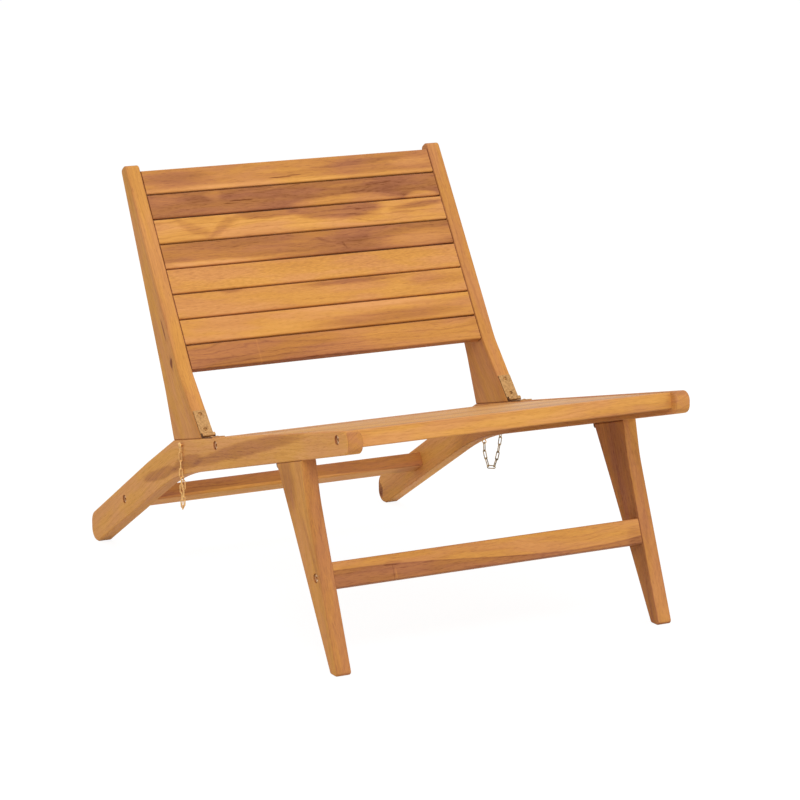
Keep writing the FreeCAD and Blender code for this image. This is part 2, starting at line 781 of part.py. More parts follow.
def chain_screw(sign, centre):
    """Round head screw that holds the first link off the outer face."""
    neck = strand_off + wire_radius + chain_face_clearance
    head_x = sign * (half_width + neck)
    head = domed_head(head_x, centre, (sign, 0.0, 0.0), chain_screw_head_radius, chain_screw_head_height)
    shank = Part.makeCylinder(chain_screw_radius, neck + chain_screw_length, vec(head_x, centre),
                              FreeCAD.Vector(-sign, 0, 0))
    return head.fuse(shank).removeSplitter()


def chain_screw_hole(sign, centre):
    """Pilot hole of one chain screw."""
    return Part.makeCylinder(chain_screw_radius + screw_hole_clearance,
                             cut_over + chain_screw_length + screw_hole_end_clearance,
                             vec(sign * (half_width + cut_over), centre), FreeCAD.Vector(-sign, 0, 0))


def eye(sign, under):
    """Screw eye in the rail's lower edge, its ring in the plane the chain hangs in."""
    along = FreeCAD.Vector(sign * (eye_x - strand_x), eye_y - chain_y, 0)
    normal = FreeCAD.Vector(0, 0, 1).cross(along)
    centre = FreeCAD.Vector(sign * eye_x, eye_y, eye_centre_z(under))
    ring = Part.makeTorus(eye_ring_radius, wire_radius, centre, normal)
    shank_z = centre.z + eye_ring_radius
    shank = Part.makeCylinder(eye_shank_radius, eye_shank_length, FreeCAD.Vector(centre.x, centre.y, shank_z))
    return ring.fuse(shank)


def eye_hole(sign, under):
    """Pilot hole of one screw eye."""
    start_z = eye_centre_z(under)
    length = eye_ring_radius + eye_shank_length + screw_hole_end_clearance
    return Part.makeCylinder(eye_shank_radius + screw_hole_clearance, length,
                             FreeCAD.Vector(sign * eye_x, eye_y, start_z))


# side rails, front legs, stiles, eyes and chains
eyes = []
for side in SIDES:
    sign = side_sign(side)
    x_low = inner_half if sign > 0.0 else -half_width
    x_mid = sign * (inner_half + board_thickness / 2.0)

    rail = board(rail_corners, x_low)
    cuts = []
    for place, angle in frame_bolt_places:
        cuts.extend(bolt_space(sign, place))
    for centre, depth, is_rail in seat_boards:
        if not is_rail:
            cuts.append(mortise(sign, centre, -seat_slope, seat_board_width))
    cuts.extend(leaf_screw_holes(x_mid, back_rail_leaf))
    cuts.append(leaf_pocket(x_mid, leg_rail_leaf))
    cuts.extend(leaf_screw_holes(x_mid, leg_rail_leaf))
    under = rail_under(rail, sign)
    cuts.append(chain_screw_hole(sign, chain_top))
    cuts.append(eye_hole(sign, under))
    eyes.append(eye(sign, under))
    chain_rise_z = eye_centre_z(under) - chain_eye_drop
    last_z = eye_centre_z(under) - (eye_ring_radius - cross_gap) + edge_reach
    joints = hang_chain(last_z)
    save(chain(sign, joints), "chain_" + side)
    for cutter in cuts:
        rail = rail.cut(cutter)
    save([rail], "side_rail_" + side)

    leg = board(leg_corners, x_low)
    cuts = bolt_space(sign, front_bolt_centre)
    cuts.extend(leaf_screw_holes(x_mid, leg_leg_leaf))
    for cutter in cuts:
        leg = leg.cut(cutter)
    save([leg], "front_leg_" + side)

    stile = board(stile_corners, x_low)
    cuts = leaf_screw_holes(x_mid, back_stile_leaf)
    for centre in back_slats:
        cuts.append(mortise(sign, centre, back_angle, back_slat_width))
    for cutter in cuts:
        stile = stile.cut(cutter)
    save([stile], "back_stile_" + side)

for index in range(back_slat_count):
    save([slat(back_slats[index], back_angle, back_slat_width, back_slat_thickness)],
         "back_slat_" + str(index + 1))

# hinges
rail_screws = []
stile_screws = []
leg_screws = []
for side in SIDES:
    x_mid = side_sign(side) * (inner_half + board_thickness / 2.0)
    save([leaf(x_mid, back_rail_leaf)], "back_hinge_rail_leaf_" + side)
    save([leaf(x_mid, back_stile_leaf)], "back_hinge_stile_leaf_" + side)
    save([hinge_pin(x_mid, back_rail_leaf)], "back_hinge_pin_" + side)
    save([leaf(x_mid, leg_rail_leaf)], "leg_hinge_rail_leaf_" + side)
    save([leaf(x_mid, leg_leg_leaf)], "leg_hinge_leg_leaf_" + side)
    save([hinge_pin(x_mid, leg_rail_leaf)], "leg_hinge_pin_" + side)
    rail_screws.extend(leaf_screws(x_mid, back_rail_leaf) + leaf_screws(x_mid, leg_rail_leaf))
    stile_screws.extend(leaf_screws(x_mid, back_stile_leaf))
    leg_screws.extend(leaf_screws(x_mid, leg_leg_leaf))

save(rail_screws, "rail_hinge_screws")
save(stile_screws, "stile_hinge_screws")
save(leg_screws, "leg_hinge_screws")

# bolts, nuts and chain screws
frame_bolts = []
frame_nuts = []
leg_bolts = []
leg_nuts = []
chain_screws = []
for side in SIDES:
    sign = side_sign(side)
    for place, angle in frame_bolt_places:
        frame_bolts.append(bolt(sign, place))
        frame_nuts.append(nut(sign, place, angle))
    leg_bolts.append(bolt(sign, front_bolt_centre))
    leg_nuts.append(nut(sign, front_bolt_centre, front_angle))
    chain_screws.append(chain_screw(sign, chain_top))
save(frame_bolts, "frame_bolts")
save(frame_nuts, "frame_nuts")
save(leg_bolts, "leg_bolts")
save(leg_nuts, "leg_nuts")
save(chain_screws, "chain_screws")
save(eyes, "chain_eyes")

print("back pin", back_pin)
print("leg pin", leg_pin)
print("chain screw", chain_top, "eye", eye_y, eye_centre_z(under))
print("links", len(chain_lengths) + 1, "low point", min(j[1] for j in joints))
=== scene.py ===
"""Looks of a folding teak garden chair: each board gets its own teak, each fitting its metal."""

import logging
import math
from dataclasses import dataclass
from enum import Enum
from functools import reduce

import bpy
import numpy as np
from mathutils import Matrix, Vector

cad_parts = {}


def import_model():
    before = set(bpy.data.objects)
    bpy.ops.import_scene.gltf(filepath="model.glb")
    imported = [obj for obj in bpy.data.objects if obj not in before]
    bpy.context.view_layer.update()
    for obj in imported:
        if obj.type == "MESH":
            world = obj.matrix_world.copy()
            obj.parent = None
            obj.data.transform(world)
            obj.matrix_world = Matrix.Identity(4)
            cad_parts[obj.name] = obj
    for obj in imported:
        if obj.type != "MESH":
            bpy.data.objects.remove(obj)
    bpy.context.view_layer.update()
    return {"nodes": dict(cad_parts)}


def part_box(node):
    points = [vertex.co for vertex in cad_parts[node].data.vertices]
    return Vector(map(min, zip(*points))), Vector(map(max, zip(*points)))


log = logging.getLogger("teak_chair")

Triple = tuple[float, float, float]
Colour = tuple[float, float, float, float]
Pair = tuple[float, float]
Socket = bpy.types.NodeSocket

# A screen shows a colour on a curve that is straight near black and a power of the colour above it.
SCREEN_WHITE = 255.0
NEAR_BLACK = 0.04045
BLACK_STEEPNESS = 12.92
CURVE_OFFSET = 0.055
CURVE_POWER = 2.4

# The hole that a bolt's head is sunk in, as it shows in the face of a board, with painted shade on its
# wall.
BOLT_HOLE_RADIUS = 0.0077
BOLT_HOLE_PAINTED_SHADE = 0.24


def paint(red: float, green: float, blue: float) -> Colour:
    """Turns a screen's colour, 0 to 255, into the linear colour that a shader takes.

    A share near black is divided by the steepness there. Any other share has the offset added, is
    divided by one plus the offset, and is raised to the power.

    Args:
        red: the screen's red.
        green: its green.
        blue: its blue.

    Returns:
        Linear red, green and blue with an alpha of 1.
    """
    shares = np.array((red, green, blue)) / SCREEN_WHITE
    curved = ((shares + CURVE_OFFSET) / (1.0 + CURVE_OFFSET)) ** CURVE_POWER
    linear = np.where(shares <= NEAR_BLACK, shares / BLACK_STEEPNESS, curved)
    return (*(float(share) for share in linear), 1.0)


def grey(level: float) -> Colour:
    """A linear grey with an alpha of 1."""
    return (level, level, level, 1.0)


def into_scene(name: str, data: bpy.types.ID) -> bpy.types.Object:
    """Puts a mesh, a lamp or a camera in the scene.

    Args:
        name: the object's name.
        data: what it shows.

    Returns:
        The object.
    """
    piece = bpy.data.objects.new(name, data)
    bpy.context.scene.collection.objects.link(piece)
    return piece


def give(piece: bpy.types.Object, material: bpy.types.Material) -> None:
    """Puts the material in every slot of the piece."""
    for slot in piece.material_slots:
        slot.material = material


class Bench:
    """Lays out shader nodes in one tree, so that a pattern reads as a few lines of sums."""

    def __init__(self, tree: bpy.types.NodeTree) -> None:
        """Takes the tree that the nodes go into."""
        self.tree = tree

    def add(self, kind: str, values: dict[str, object] | None = None,
            **settings: object) -> bpy.types.Node:
        """Adds a node.

        Args:
            kind: the node's type.
            values: its inputs' values by name.
            settings: its settings by name.

        Returns:
            The node.
        """
        node = self.tree.nodes.new(kind)
        for name, value in settings.items():
            setattr(node, name, value)
        self.fill(node, values or {})
        return node

    def feed(self, socket: Socket, value: object) -> None:
        """Gives an input its value.

        Args:
            socket: the input.
            value: another node's output, which is linked, or a plain value, which is written.
        """
        if isinstance(value, bpy.types.NodeSocket):
            self.tree.links.new(value, socket)
        else:
            socket.default_value = value

    def fill(self, node: bpy.types.Node, values: dict[str, object]) -> None:
        """Gives a node's inputs their values by name."""
        for name, value in values.items():
            self.feed(node.inputs[name], value)

    def run(self, node: bpy.types.Node, *values: object) -> Socket:
        """Gives the inputs that a node has in use their values in order.

        Args:
            node: the node.
            values: a value for each input in turn.

        Returns:
            The output that the node has in use.
        """
        used = [socket for socket in node.inputs if socket.enabled]
        for socket, value in zip(used, values):
            self.feed(socket, value)
        return next(socket for socket in node.outputs if socket.enabled)

    def math(self, operation: str, *values: object, clamp: bool = False) -> Socket:
        """Works out one operation on one to three numbers."""
        return self.run(self.add("ShaderNodeMath", operation=operation, use_clamp=clamp), *values)

    def vector(self, operation: str, *values: object) -> Socket:
        """Works out one operation on vectors."""
        return self.run(self.add("ShaderNodeVectorMath", operation=operation), *values)

    def joined(self, x: object, y: object, z: object) -> Socket:
        """Makes a vector of three numbers."""
        return self.run(self.add("ShaderNodeCombineXYZ"), x, y, z)

    def apart(self, vector: Socket) -> tuple[Socket, Socket, Socket]:
        """Takes a vector apart into its three numbers."""
        return tuple(self.add("ShaderNodeSeparateXYZ", {"Vector": vector}).outputs)

    def sum_up(self, *terms: object) -> Socket:
        """Adds up numbers."""
        return reduce(lambda total, term: self.math("ADD", total, term), terms)

    def noise(self, place: Socket, detail: float = 0.0, roughness: float = 0.5,
              output: str = "Fac") -> Socket:
        """Smooth noise, 0 to 1, in patches one unit long: Fac gives one number, Color three."""
        values = {"Vector": place, "Scale": 1.0, "Detail": detail, "Roughness": roughness}
        return self.add("ShaderNodeTexNoise", values, noise_dimensions="3D").outputs[output]

    def rise(self, value: object, low: object, high: float,
             start: float = 0.0, end: float = 1.0) -> Socket:
        """Goes smoothly from start to end while the value goes from low to high."""
        values = {"Value": value, "From Min": low, "From Max": high, "To Min": start, "To Max": end}
        return self.add("ShaderNodeMapRange", values, interpolation_type="SMOOTHSTEP").outputs[0]

    def colours(self, factor: Socket, stops: tuple[tuple[float, Colour], ...]) -> Socket:
        """Runs through a row of colours.

        Args:
            factor: how far along the row, from 0 to 1.
            stops: each colour's place in the row, and the colour.

        Returns:
            The colour there.
        """
        ramp = self.add("ShaderNodeValToRGB")
        elements = ramp.color_ramp.elements
        while len(elements) < len(stops):
            elements.new(1.0)
        for element, (place, colour) in zip(elements, stops):
            element.position = place
            element.color = colour
        return self.run(ramp, factor)

    def mixed(self, factor: object, first: object, second: object,
              kind: str = "RGBA", blend: str = "MIX") -> Socket:
        """Mixes two colours, or two vectors."""
        node = self.add("ShaderNodeMix", data_type=kind, blend_type=blend)
        return self.run(node, factor, first, second)

    def bump(self, height: Socket, strength: float, depth: float) -> Socket:
        """Turns a height, in units of the depth in metres, into a bent surface normal."""
        values = {"Strength": strength, "Distance": depth, "Height": height}
        return self.add("ShaderNodeBump", values).outputs[0]


def new_material(name: str) -> tuple[bpy.types.Material, Bench]:
    """Makes a material.

    Args:
        name: its name.

    Returns:
        The material and a bench on its tree.
    """
    made = bpy.data.materials.new(name)
    made.use_nodes = True
    return made, Bench(made.node_tree)


class Edge(Enum):
    """How a figure in the wood ends: the share of its size at which it starts to fade."""

    SMOKY = 0.0
    SOFT = 0.35
    CRISP = 0.75


@dataclass(frozen=True)
class Figure:
    """One lens-shaped streak, patch, knot or joint line in a board's face.

    Along and across give its middle. Depth is how much darker it is than the board, or lighter below
    zero. TeakGrain.figure_group says what tilt, bow, swing and wave do.
    """

    along: float
    across: float
    half_length: float
    half_width: float
    depth: float
    tilt: float = 0.0
    bow: float = 0.0
    swing: float = 0.0
    wave: float = 0.15
    edge: Edge = Edge.SMOKY

    def inputs(self, place: Socket) -> dict[str, object]:
        """The figure group's inputs, for a figure drawn over that place in the board."""
        return {"Place": place, "Middle": (self.along, self.across, 0.0),
                "Tilt": self.tilt, "Bow": self.bow, "Swing": self.swing, "Wave": self.wave,
                "Half Length": self.half_length, "Half Width": self.half_width,
                "Depth": self.depth, "Fade From": self.edge.value}


def bolt_hole(along: float, across: float) -> Figure:
    """Painted shade on the wall of a sunk bolt's hole, and on its rim."""
    return Figure(along, across, BOLT_HOLE_RADIUS, BOLT_HOLE_RADIUS, BOLT_HOLE_PAINTED_SHADE, edge=Edge.CRISP)


@dataclass(frozen=True)
class GrainLines:
    """Where a board's grain runs: a point on it, the way along the grain and the way across its face.

    A bent board has a second pair of directions past the point, and turns into them from one turn
    length before it to one after it.
    """

    origin: Triple
    along: Triple
    across: Triple
    along_after: Triple | None = None
    across_after: Triple | None = None
    turn: float = 0.07

    def placed(self, bench: Bench, place: Socket, along: Triple, across: Triple) -> Socket:
        """Measures a place on the chair from the board's point.

        Args:
            bench: where the node goes.
            place: the piece's Object coordinates.
            along: the way along the grain.
            across: the way across the face.

        Returns:
            Metres along, across and through the board.
        """
        first, second = Vector(along), Vector(across)
        board = Matrix((first, second, first.cross(second))).transposed()
        values = {"Vector": place, "Location": self.origin, "Rotation": board.to_euler()}
        return bench.add("ShaderNodeMapping", values, vector_type="TEXTURE").outputs[0]

    def coordinates(self, bench: Bench, place: Socket) -> Socket:
        """Builds the nodes that turn a place on the chair into a place in the board.

        Args:
            bench: where the nodes go.
            place: the piece's Object coordinates.

        Returns:
            Metres along, across and through the board.
        """
        before = self.placed(bench, place, self.along, self.across)
        if self.along_after is None:
            return before
        after = self.placed(bench, place, self.along_after, self.across_after)
        share = bench.rise(bench.apart(before)[0], -self.turn, self.turn)
        return bench.mixed(share, before, after, kind="VECTOR")


@dataclass(frozen=True)
class GrainLayer:
    """One layer of noise in the grain, in patches whose length and width are metres.

    Detail and roughness are the noise's own. The order keeps its place in the noise apart from the
    other layers' places. A layer that fades goes from nothing to full from one noise value to another.
    """

    length: float
    width: float
    detail: float = 0.0
    roughness: float = 0.5
    order: float = 0.0
    fade: Pair = (0.0, 1.0)


@dataclass(frozen=True)
class TeakGrain:
    """The grain that all boards share, as two node groups. Reaches and steps are metres."""

    fray: GrainLayer = GrainLayer(0.045, 0.010, detail=3.0)
    fray_reach: float = 0.0045
    sway: GrainLayer = GrainLayer(0.16, 0.05, detail=1.0)
    sway_reach: float = 0.012
    further_along: float = 4.0
    bands: GrainLayer = GrainLayer(0.34, 0.024, detail=2.0, roughness=0.45, order=3.0,
                                   fade=(0.25, 0.75))
    streaks: GrainLayer = GrainLayer(0.10, 0.0026, detail=3.0, order=11.0)
    streak_relief: float = 0.6
    ring_step: float = 0.0052
    ring_fade: Pair = (0.36, 0.5)
    half_ring: float = 0.5
    beat: GrainLayer = GrainLayer(0.5, 0.03, order=23.0)
    beat_rings: float = 4.0
    pores: GrainLayer = GrainLayer(0.012, 0.0007, fade=(0.60, 0.72))
    specks: GrainLayer = GrainLayer(0.0075, 0.0014, detail=1.0)
    tints: GrainLayer = GrainLayer(0.11, 0.022, detail=2.0, fade=(0.36, 0.64))
    noise_middle: float = 0.5
    seed_across: float = 1.7
    seed_through: float = 0.6

    def outline(self, name: str, inputs: dict[str, str], outputs: dict[str, str]) -> Bench:
        """Makes an empty node group with those sockets.

        Args:
            name: the group's name.
            inputs: socket name to Float or Vector.
            outputs: socket name to Float or Vector.

        Returns:
            A bench on the group's tree.
        """
        group = bpy.data.node_groups.new(name, "ShaderNodeTree")
        for way, sockets in (("INPUT", inputs), ("OUTPUT", outputs)):
            for socket, kind in sockets.items():
                group.interface.new_socket(socket, in_out=way, socket_type="NodeSocket" + kind)
        return Bench(group)

    def grain_group(self) -> bpy.types.NodeTree:
        """Builds the group that gives a board's darkness and relief.

        The place in the board is frayed by fast noise and swayed by slow noise. The year rings lie
        round the pith line, so the distance from it is what bands, streaks and rings are drawn over,
        and a board's faces, edges and ends agree with each other as they do in sawn wood.

        Returns:
            The node group.
        """
        amounts = ("Seed", "Bands", "Streaks", "Rings", "Pores", "Specks")
        inputs = {"Board": "Vector", "Pith": "Vector", **dict.fromkeys(amounts, "Float")}
        outputs = {"Dark": "Float", "Relief": "Float", "Frayed": "Vector", "Rosy": "Float"}
        bench = self.outline("teak_grain", inputs, outputs)
        given = bench.add("NodeGroupInput").outputs
        seed = given["Seed"]
        shift = bench.joined(seed, bench.math("MULTIPLY", seed, self.seed_across),
                             bench.math("MULTIPLY", seed, self.seed_through))

        def patches(layer: GrainLayer) -> Socket:
            """The board's place in the layer's patches, moved by the seed."""
            scale = (1.0 / layer.length, 1.0 / layer.width, 1.0 / layer.width)
            return bench.vector("ADD", bench.vector("MULTIPLY", given["Board"], scale), shift)

        def moved(layer: GrainLayer, reach: float) -> Socket:
            """Works out a small move, the same for all of one patch.

            Args:
                layer: the patches.
                reach: the move's whole range across the board; along it the range is wider.

            Returns:
                The move in metres.
            """
            tossed = bench.noise(patches(layer), layer.detail, output="Color")
            tossed = bench.vector("SUBTRACT", tossed, (self.noise_middle,) * 3)
            return bench.vector("MULTIPLY", tossed, (self.further_along * reach, reach, reach))

        frayed = bench.vector("ADD", given["Board"], moved(self.fray, self.fray_reach))
        swayed = bench.vector("ADD", frayed, moved(self.sway, self.sway_reach))
        off_pith = bench.vector("SUBTRACT", swayed, given["Pith"])
        radius = bench.vector("LENGTH", bench.vector("MULTIPLY", off_pith, (0.0, 1.0, 1.0)))
        along = bench.apart(swayed)[0]

        def over_rings(layer: GrainLayer) -> Socket:
            """Draws a layer over the length of the board and the distance from the pith.

            Args:
                layer: the layer.

            Returns:
                Its noise.
            """
            start = bench.math("ADD", seed, layer.order)
            u = bench.math("MULTIPLY_ADD", along, 1.0 / layer.length, start)
            r = bench.math("MULTIPLY", radius, 1.0 / layer.width)
            return bench.noise(bench.joined(u, r, seed), layer.detail, layer.roughness)

        def centred(noise: Socket) -> Socket:
            """Moves the noise's middle to nothing."""
            return bench.math("SUBTRACT", noise, self.noise_middle)

        bands = centred(bench.rise(over_rings(self.bands), *self.bands.fade))
        streaks = centred(over_rings(self.streaks))
        beat = bench.math("MULTIPLY", over_rings(self.beat), self.beat_rings)
        count = bench.math("MULTIPLY_ADD", radius, 1.0 / self.ring_step, beat)
        rings = bench.rise(bench.math("PINGPONG", count, self.half_ring), *self.ring_fade)
        pores = bench.rise(bench.noise(patches(self.pores)), *self.pores.fade)
        specks = centred(bench.noise(patches(self.specks), self.specks.detail))
        tints = bench.noise(patches(self.tints), self.tints.detail)
        drawn = {"Bands": bands, "Streaks": streaks, "Rings": rings, "Pores": pores, "Specks": specks}
        shares = (bench.math("MULTIPLY", layer, given[name]) for name, layer in drawn.items())
        dark = bench.sum_up(*shares)
        raised = bench.math("MULTIPLY", streaks, self.streak_relief)
        relief = bench.math("SUBTRACT", raised, bench.math("ADD", pores, rings))
        rosy = bench.rise(tints, *self.tints.fade)
        bench.add("NodeGroupOutput", {"Dark": dark, "Relief": relief, "Frayed": frayed, "Rosy": rosy})
        return bench.tree

    def figure_group(self) -> bpy.types.NodeTree:
        """Builds the group that draws one figure.

        With u along and v across from the figure's middle, its mid line is v = tilt times u plus bow
        times u squared plus swing times the sine of a full circle times u over the wave. The share out
        from the middle is (u / half length) squared plus (v off the mid line / half width) squared,
        and the darkness fades from the edge's share to nothing at 1.

        Returns:
            The node group.
        """
        numbers = ("Tilt", "Bow", "Swing", "Wave", "Half Length", "Half Width", "Depth", "Fade From")
        inputs = {"Place": "Vector", "Middle": "Vector", **dict.fromkeys(numbers, "Float")}
        bench = self.outline("grain_figure", inputs, {"Dark": "Float"})
        given = bench.add("NodeGroupInput").outputs
        u, v, _ = bench.apart(bench.vector("SUBTRACT", given["Place"], given["Middle"]))
        steepness = bench.math("MULTIPLY_ADD", u, given["Bow"], given["Tilt"])
        turns = bench.math("DIVIDE", bench.math("MULTIPLY", u, math.tau), given["Wave"])
        swung = bench.math("MULTIPLY", bench.math("SINE", turns), given["Swing"])
        risen = bench.math("MULTIPLY", u, steepness)
        off = bench.math("SUBTRACT", bench.math("SUBTRACT", v, risen), swung)

        def out_squared(distance: Socket, half: str) -> Socket:
            """The distance as a share of half the figure's size, squared."""
            share = bench.math("ABSOLUTE", bench.math("DIVIDE", distance, given[half]))
            return bench.math("POWER", share, 2.0)

        out_share = bench.math("ADD", out_squared(u, "Half Length"), out_squared(off, "Half Width"))
        fade = bench.rise(out_share, given["Fade From"], 1.0, 1.0, 0.0)
        bench.add("NodeGroupOutput", {"Dark": bench.math("MULTIPLY", fade, given["Depth"])})
        return bench.tree


@dataclass(frozen=True)
class TeakColours:
    """Teak from its lightest to its darkest, as screen colours, and two tints as shares of light."""

    pale: Triple = (232, 172, 104)
    honey: Triple = (212, 151, 83)
    amber: Triple = (190, 129, 74)
    brown: Triple = (163, 106, 68)
    dark: Triple = (116, 64, 34)
    golden: Triple = (1.02, 1.02, 0.84)
    rosy: Triple = (0.99, 0.95, 1.08)
    places: tuple[float, ...] = (0.0, 0.28, 0.52, 0.76, 1.0)

    def stops(self) -> tuple[tuple[float, Colour], ...]:
        """The colours as the stops of a colour ramp, each at its place."""
        shades = (self.pale, self.honey, self.amber, self.brown, self.dark)
        return tuple((place, paint(*shade)) for place, shade in zip(self.places, shades))


@dataclass(frozen=True)
class TeakFinish:
    """One board's teak: how dark it is, how strong its grain is and the figures on its face.

    A turn is how squarely a surface faces a way, from where its darkness for that way starts to where
    it is full. The darkness on the narrow sides and on the underside is painted shade, and painted
    light where it is below zero.
    """

    node: str
    seed: float
    tone: float = 0.30
    bands: float = 0.34
    streaks: float = 0.30
    rings: float = 0.07
    pores: float = 0.14
    specks: float = 0.10
    pith: Triple = (0.0, 0.05, -0.09)
    figures: tuple[Figure, ...] = ()
    colours: TeakColours = TeakColours()
    roughness: float = 0.58
    specular: float = 0.08
    edge_shine: float = 0.07
    pore_dullness: float = 0.08
    relief_strength: float = 0.35
    relief_depth: float = 0.0003
    edge_dark: float = 0.12
    edge_turn: Pair = (0.97, 0.75)
    # Painted shade on the narrow sides and on the underside; a value below zero paints light there
    # instead.
    side_painted_shade: float = 0.0
    side_turn: Pair = (0.6, 0.95)
    under_painted_shade: float = 0.0
    under_turn: Pair = (-0.6, -0.95)
    end_dark: float = 0.12
    end_turn: Pair = (0.35, 0.9)

    def turned(self, bench: Bench, lines: GrainLines) -> tuple[Socket, Socket, Socket, Socket]:
        """Finds how the surface is turned in the board.

        Args:
            bench: where the nodes go.
            lines: where the board's grain runs.

        Returns:
            1 on a rounded edge, where the surface faces halfway between two sides, then 1 on the
            narrow sides, which face across the board, 1 on the one that faces against its across
            direction, and 1 on the ends.
        """
        normal = bench.add("ShaderNodeTexCoord").outputs["Normal"]
        first, second = Vector(lines.along), Vector(lines.across)
        ways = (first, second, first.cross(second))
        facing = [bench.vector("DOT_PRODUCT", normal, way) for way in ways]
        along, across, through = (bench.math("ABSOLUTE", share) for share in facing)
        most = bench.math("MAXIMUM", along, bench.math("MAXIMUM", across, through))
        return (
            bench.rise(most, *self.edge_turn),
            bench.rise(across, *self.side_turn),
            bench.rise(facing[1], *self.under_turn),
            bench.rise(along, *self.end_turn),
        )

    def material(self, lines: GrainLines, grain: bpy.types.NodeTree,
                 figure: bpy.types.NodeTree) -> bpy.types.Material:
        """Builds the board's own material.

        Args:
            lines: where its grain runs.
            grain: the shared grain group.
            figure: the shared figure group.

        Returns:
            The material.
        """
        made, bench = new_material("teak_" + self.node)
        place = lines.coordinates(bench, bench.add("ShaderNodeTexCoord").outputs["Object"])
        amounts = {"Board": place, "Pith": self.pith, "Seed": self.seed, "Bands": self.bands,
                   "Streaks": self.streaks, "Rings": self.rings, "Pores": self.pores,
                   "Specks": self.specks}
        board = bench.add("ShaderNodeGroup", amounts, node_tree=grain)
        dark = bench.math("ADD", board.outputs["Dark"], self.tone)
        for drawn in self.figures:
            inputs = drawn.inputs(place if drawn.edge is Edge.CRISP else board.outputs["Frayed"])
            node = bench.add("ShaderNodeGroup", inputs, node_tree=figure)
            dark = bench.math("ADD", dark, node.outputs["Dark"])
        edges, sides, under, ends = self.turned(bench, lines)
        # Painted shade on the narrow sides and the underside, and painted light where a value is below
        # zero.
        dark = bench.math("MULTIPLY_ADD", sides, self.side_painted_shade, dark)
        dark = bench.math("MULTIPLY_ADD", under, self.under_painted_shade, dark)
        dark = bench.math("MULTIPLY_ADD", ends, self.end_dark, dark)
        dark = bench.math("MULTIPLY_ADD", edges, self.edge_dark, dark, clamp=True)
        golden, rosy = (*self.colours.golden, 1.0), (*self.colours.rosy, 1.0)
        tint = bench.mixed(board.outputs["Rosy"], golden, rosy)
        teak = bench.mixed(1.0, bench.colours(dark, self.colours.stops()), tint, blend="MULTIPLY")
        relief = board.outputs["Relief"]
        dull = bench.math("MULTIPLY_ADD", relief, -self.pore_dullness, self.roughness)
        dull = bench.math("MULTIPLY_ADD", edges, -self.edge_shine, dull)
        bent = bench.bump(relief, self.relief_strength, self.relief_depth)
        bench.fill(made.node_tree.nodes["Principled BSDF"], {
            "Base Color": teak, "Roughness": dull, "Normal": bent, "Specular IOR Level": self.specular})
        return made


@dataclass(frozen=True)
class MetalFinish:
    """Plain metal with tarnish in soft patches, painted shade on sides and undersides, and fine
    handling marks.

    Patch and mark are metres. A turn is how squarely a surface faces sideways or up, from where its
    painted shade starts to where it is full.
    """

    name: str
    bright: Triple
    tarnished: Triple
    tarnish: float = 0.5
    # Painted shade on the sides and on the undersides.
    painted_side_shade: float = 0.0
    painted_underside_shade: float = 0.0
    roughness: float = 0.30
    roughness_spread: float = 0.16
    patch: float = 0.006
    patch_detail: float = 3.0
    patch_roughness: float = 0.6
    patch_fade: Pair = (0.35, 0.7)
    side_turn: Pair = (0.7, 0.95)
    under_turn: Pair = (0.25, -0.45)
    mark: float = 0.0007
    mark_detail: float = 2.0
    mark_strength: float = 0.15
    mark_depth: float = 0.0001

    def material(self) -> bpy.types.Material:
        """Builds the metal.

        Returns:
            The material.
        """
        made, bench = new_material(self.name)
        here = bench.add("ShaderNodeTexCoord").outputs
        sideways, _, upwards = bench.apart(here["Normal"])

        def speckled(size: float, detail: float, roughness: float = 0.5) -> Socket:
            """Noise in patches of that size."""
            place = bench.vector("MULTIPLY", here["Object"], (1.0 / size,) * 3)
            return bench.noise(place, detail, roughness)

        patches = speckled(self.patch, self.patch_detail, self.patch_roughness)
        marks = speckled(self.mark, self.mark_detail)
        # Tarnish in soft patches, plus painted shade on the sides and the undersides.
        tarnish_and_shade = bench.sum_up(
            bench.rise(patches, *self.patch_fade, 0.0, self.tarnish),
            bench.rise(bench.math("ABSOLUTE", sideways), *self.side_turn, 0.0, self.painted_side_shade),
            bench.rise(upwards, *self.under_turn, 0.0, self.painted_underside_shade),
        )
        tarnish_and_shade = bench.math("MINIMUM", tarnish_and_shade, 1.0)
        unevenness = bench.math("ADD", tarnish_and_shade, marks)
        rough = bench.math("MULTIPLY_ADD", unevenness, self.roughness_spread, self.roughness)
        bench.fill(made.node_tree.nodes["Principled BSDF"], {
            "Base Color": bench.mixed(tarnish_and_shade, paint(*self.bright), paint(*self.tarnished)),
            "Roughness": rough,
            "Normal": bench.bump(marks, self.mark_strength, self.mark_depth),
            "Metallic": 1.0,
        })
        return made


def lean(degrees: float) -> tuple[Triple, Triple]:
    """For a part that leans back from upright: up along it, and square to it towards the front."""
    angle = math.radians(degrees)
    return (0.0, math.sin(angle), math.cos(angle)), (0.0, -math.cos(angle), math.sin(angle))


def slope(degrees: float) -> tuple[Triple, Triple]:
    """For a part that drops towards the back: back along it, and square to it upwards."""
    angle = math.radians(degrees)
    return (0.0, math.cos(angle), -math.sin(angle)), (0.0, math.sin(angle), math.cos(angle))


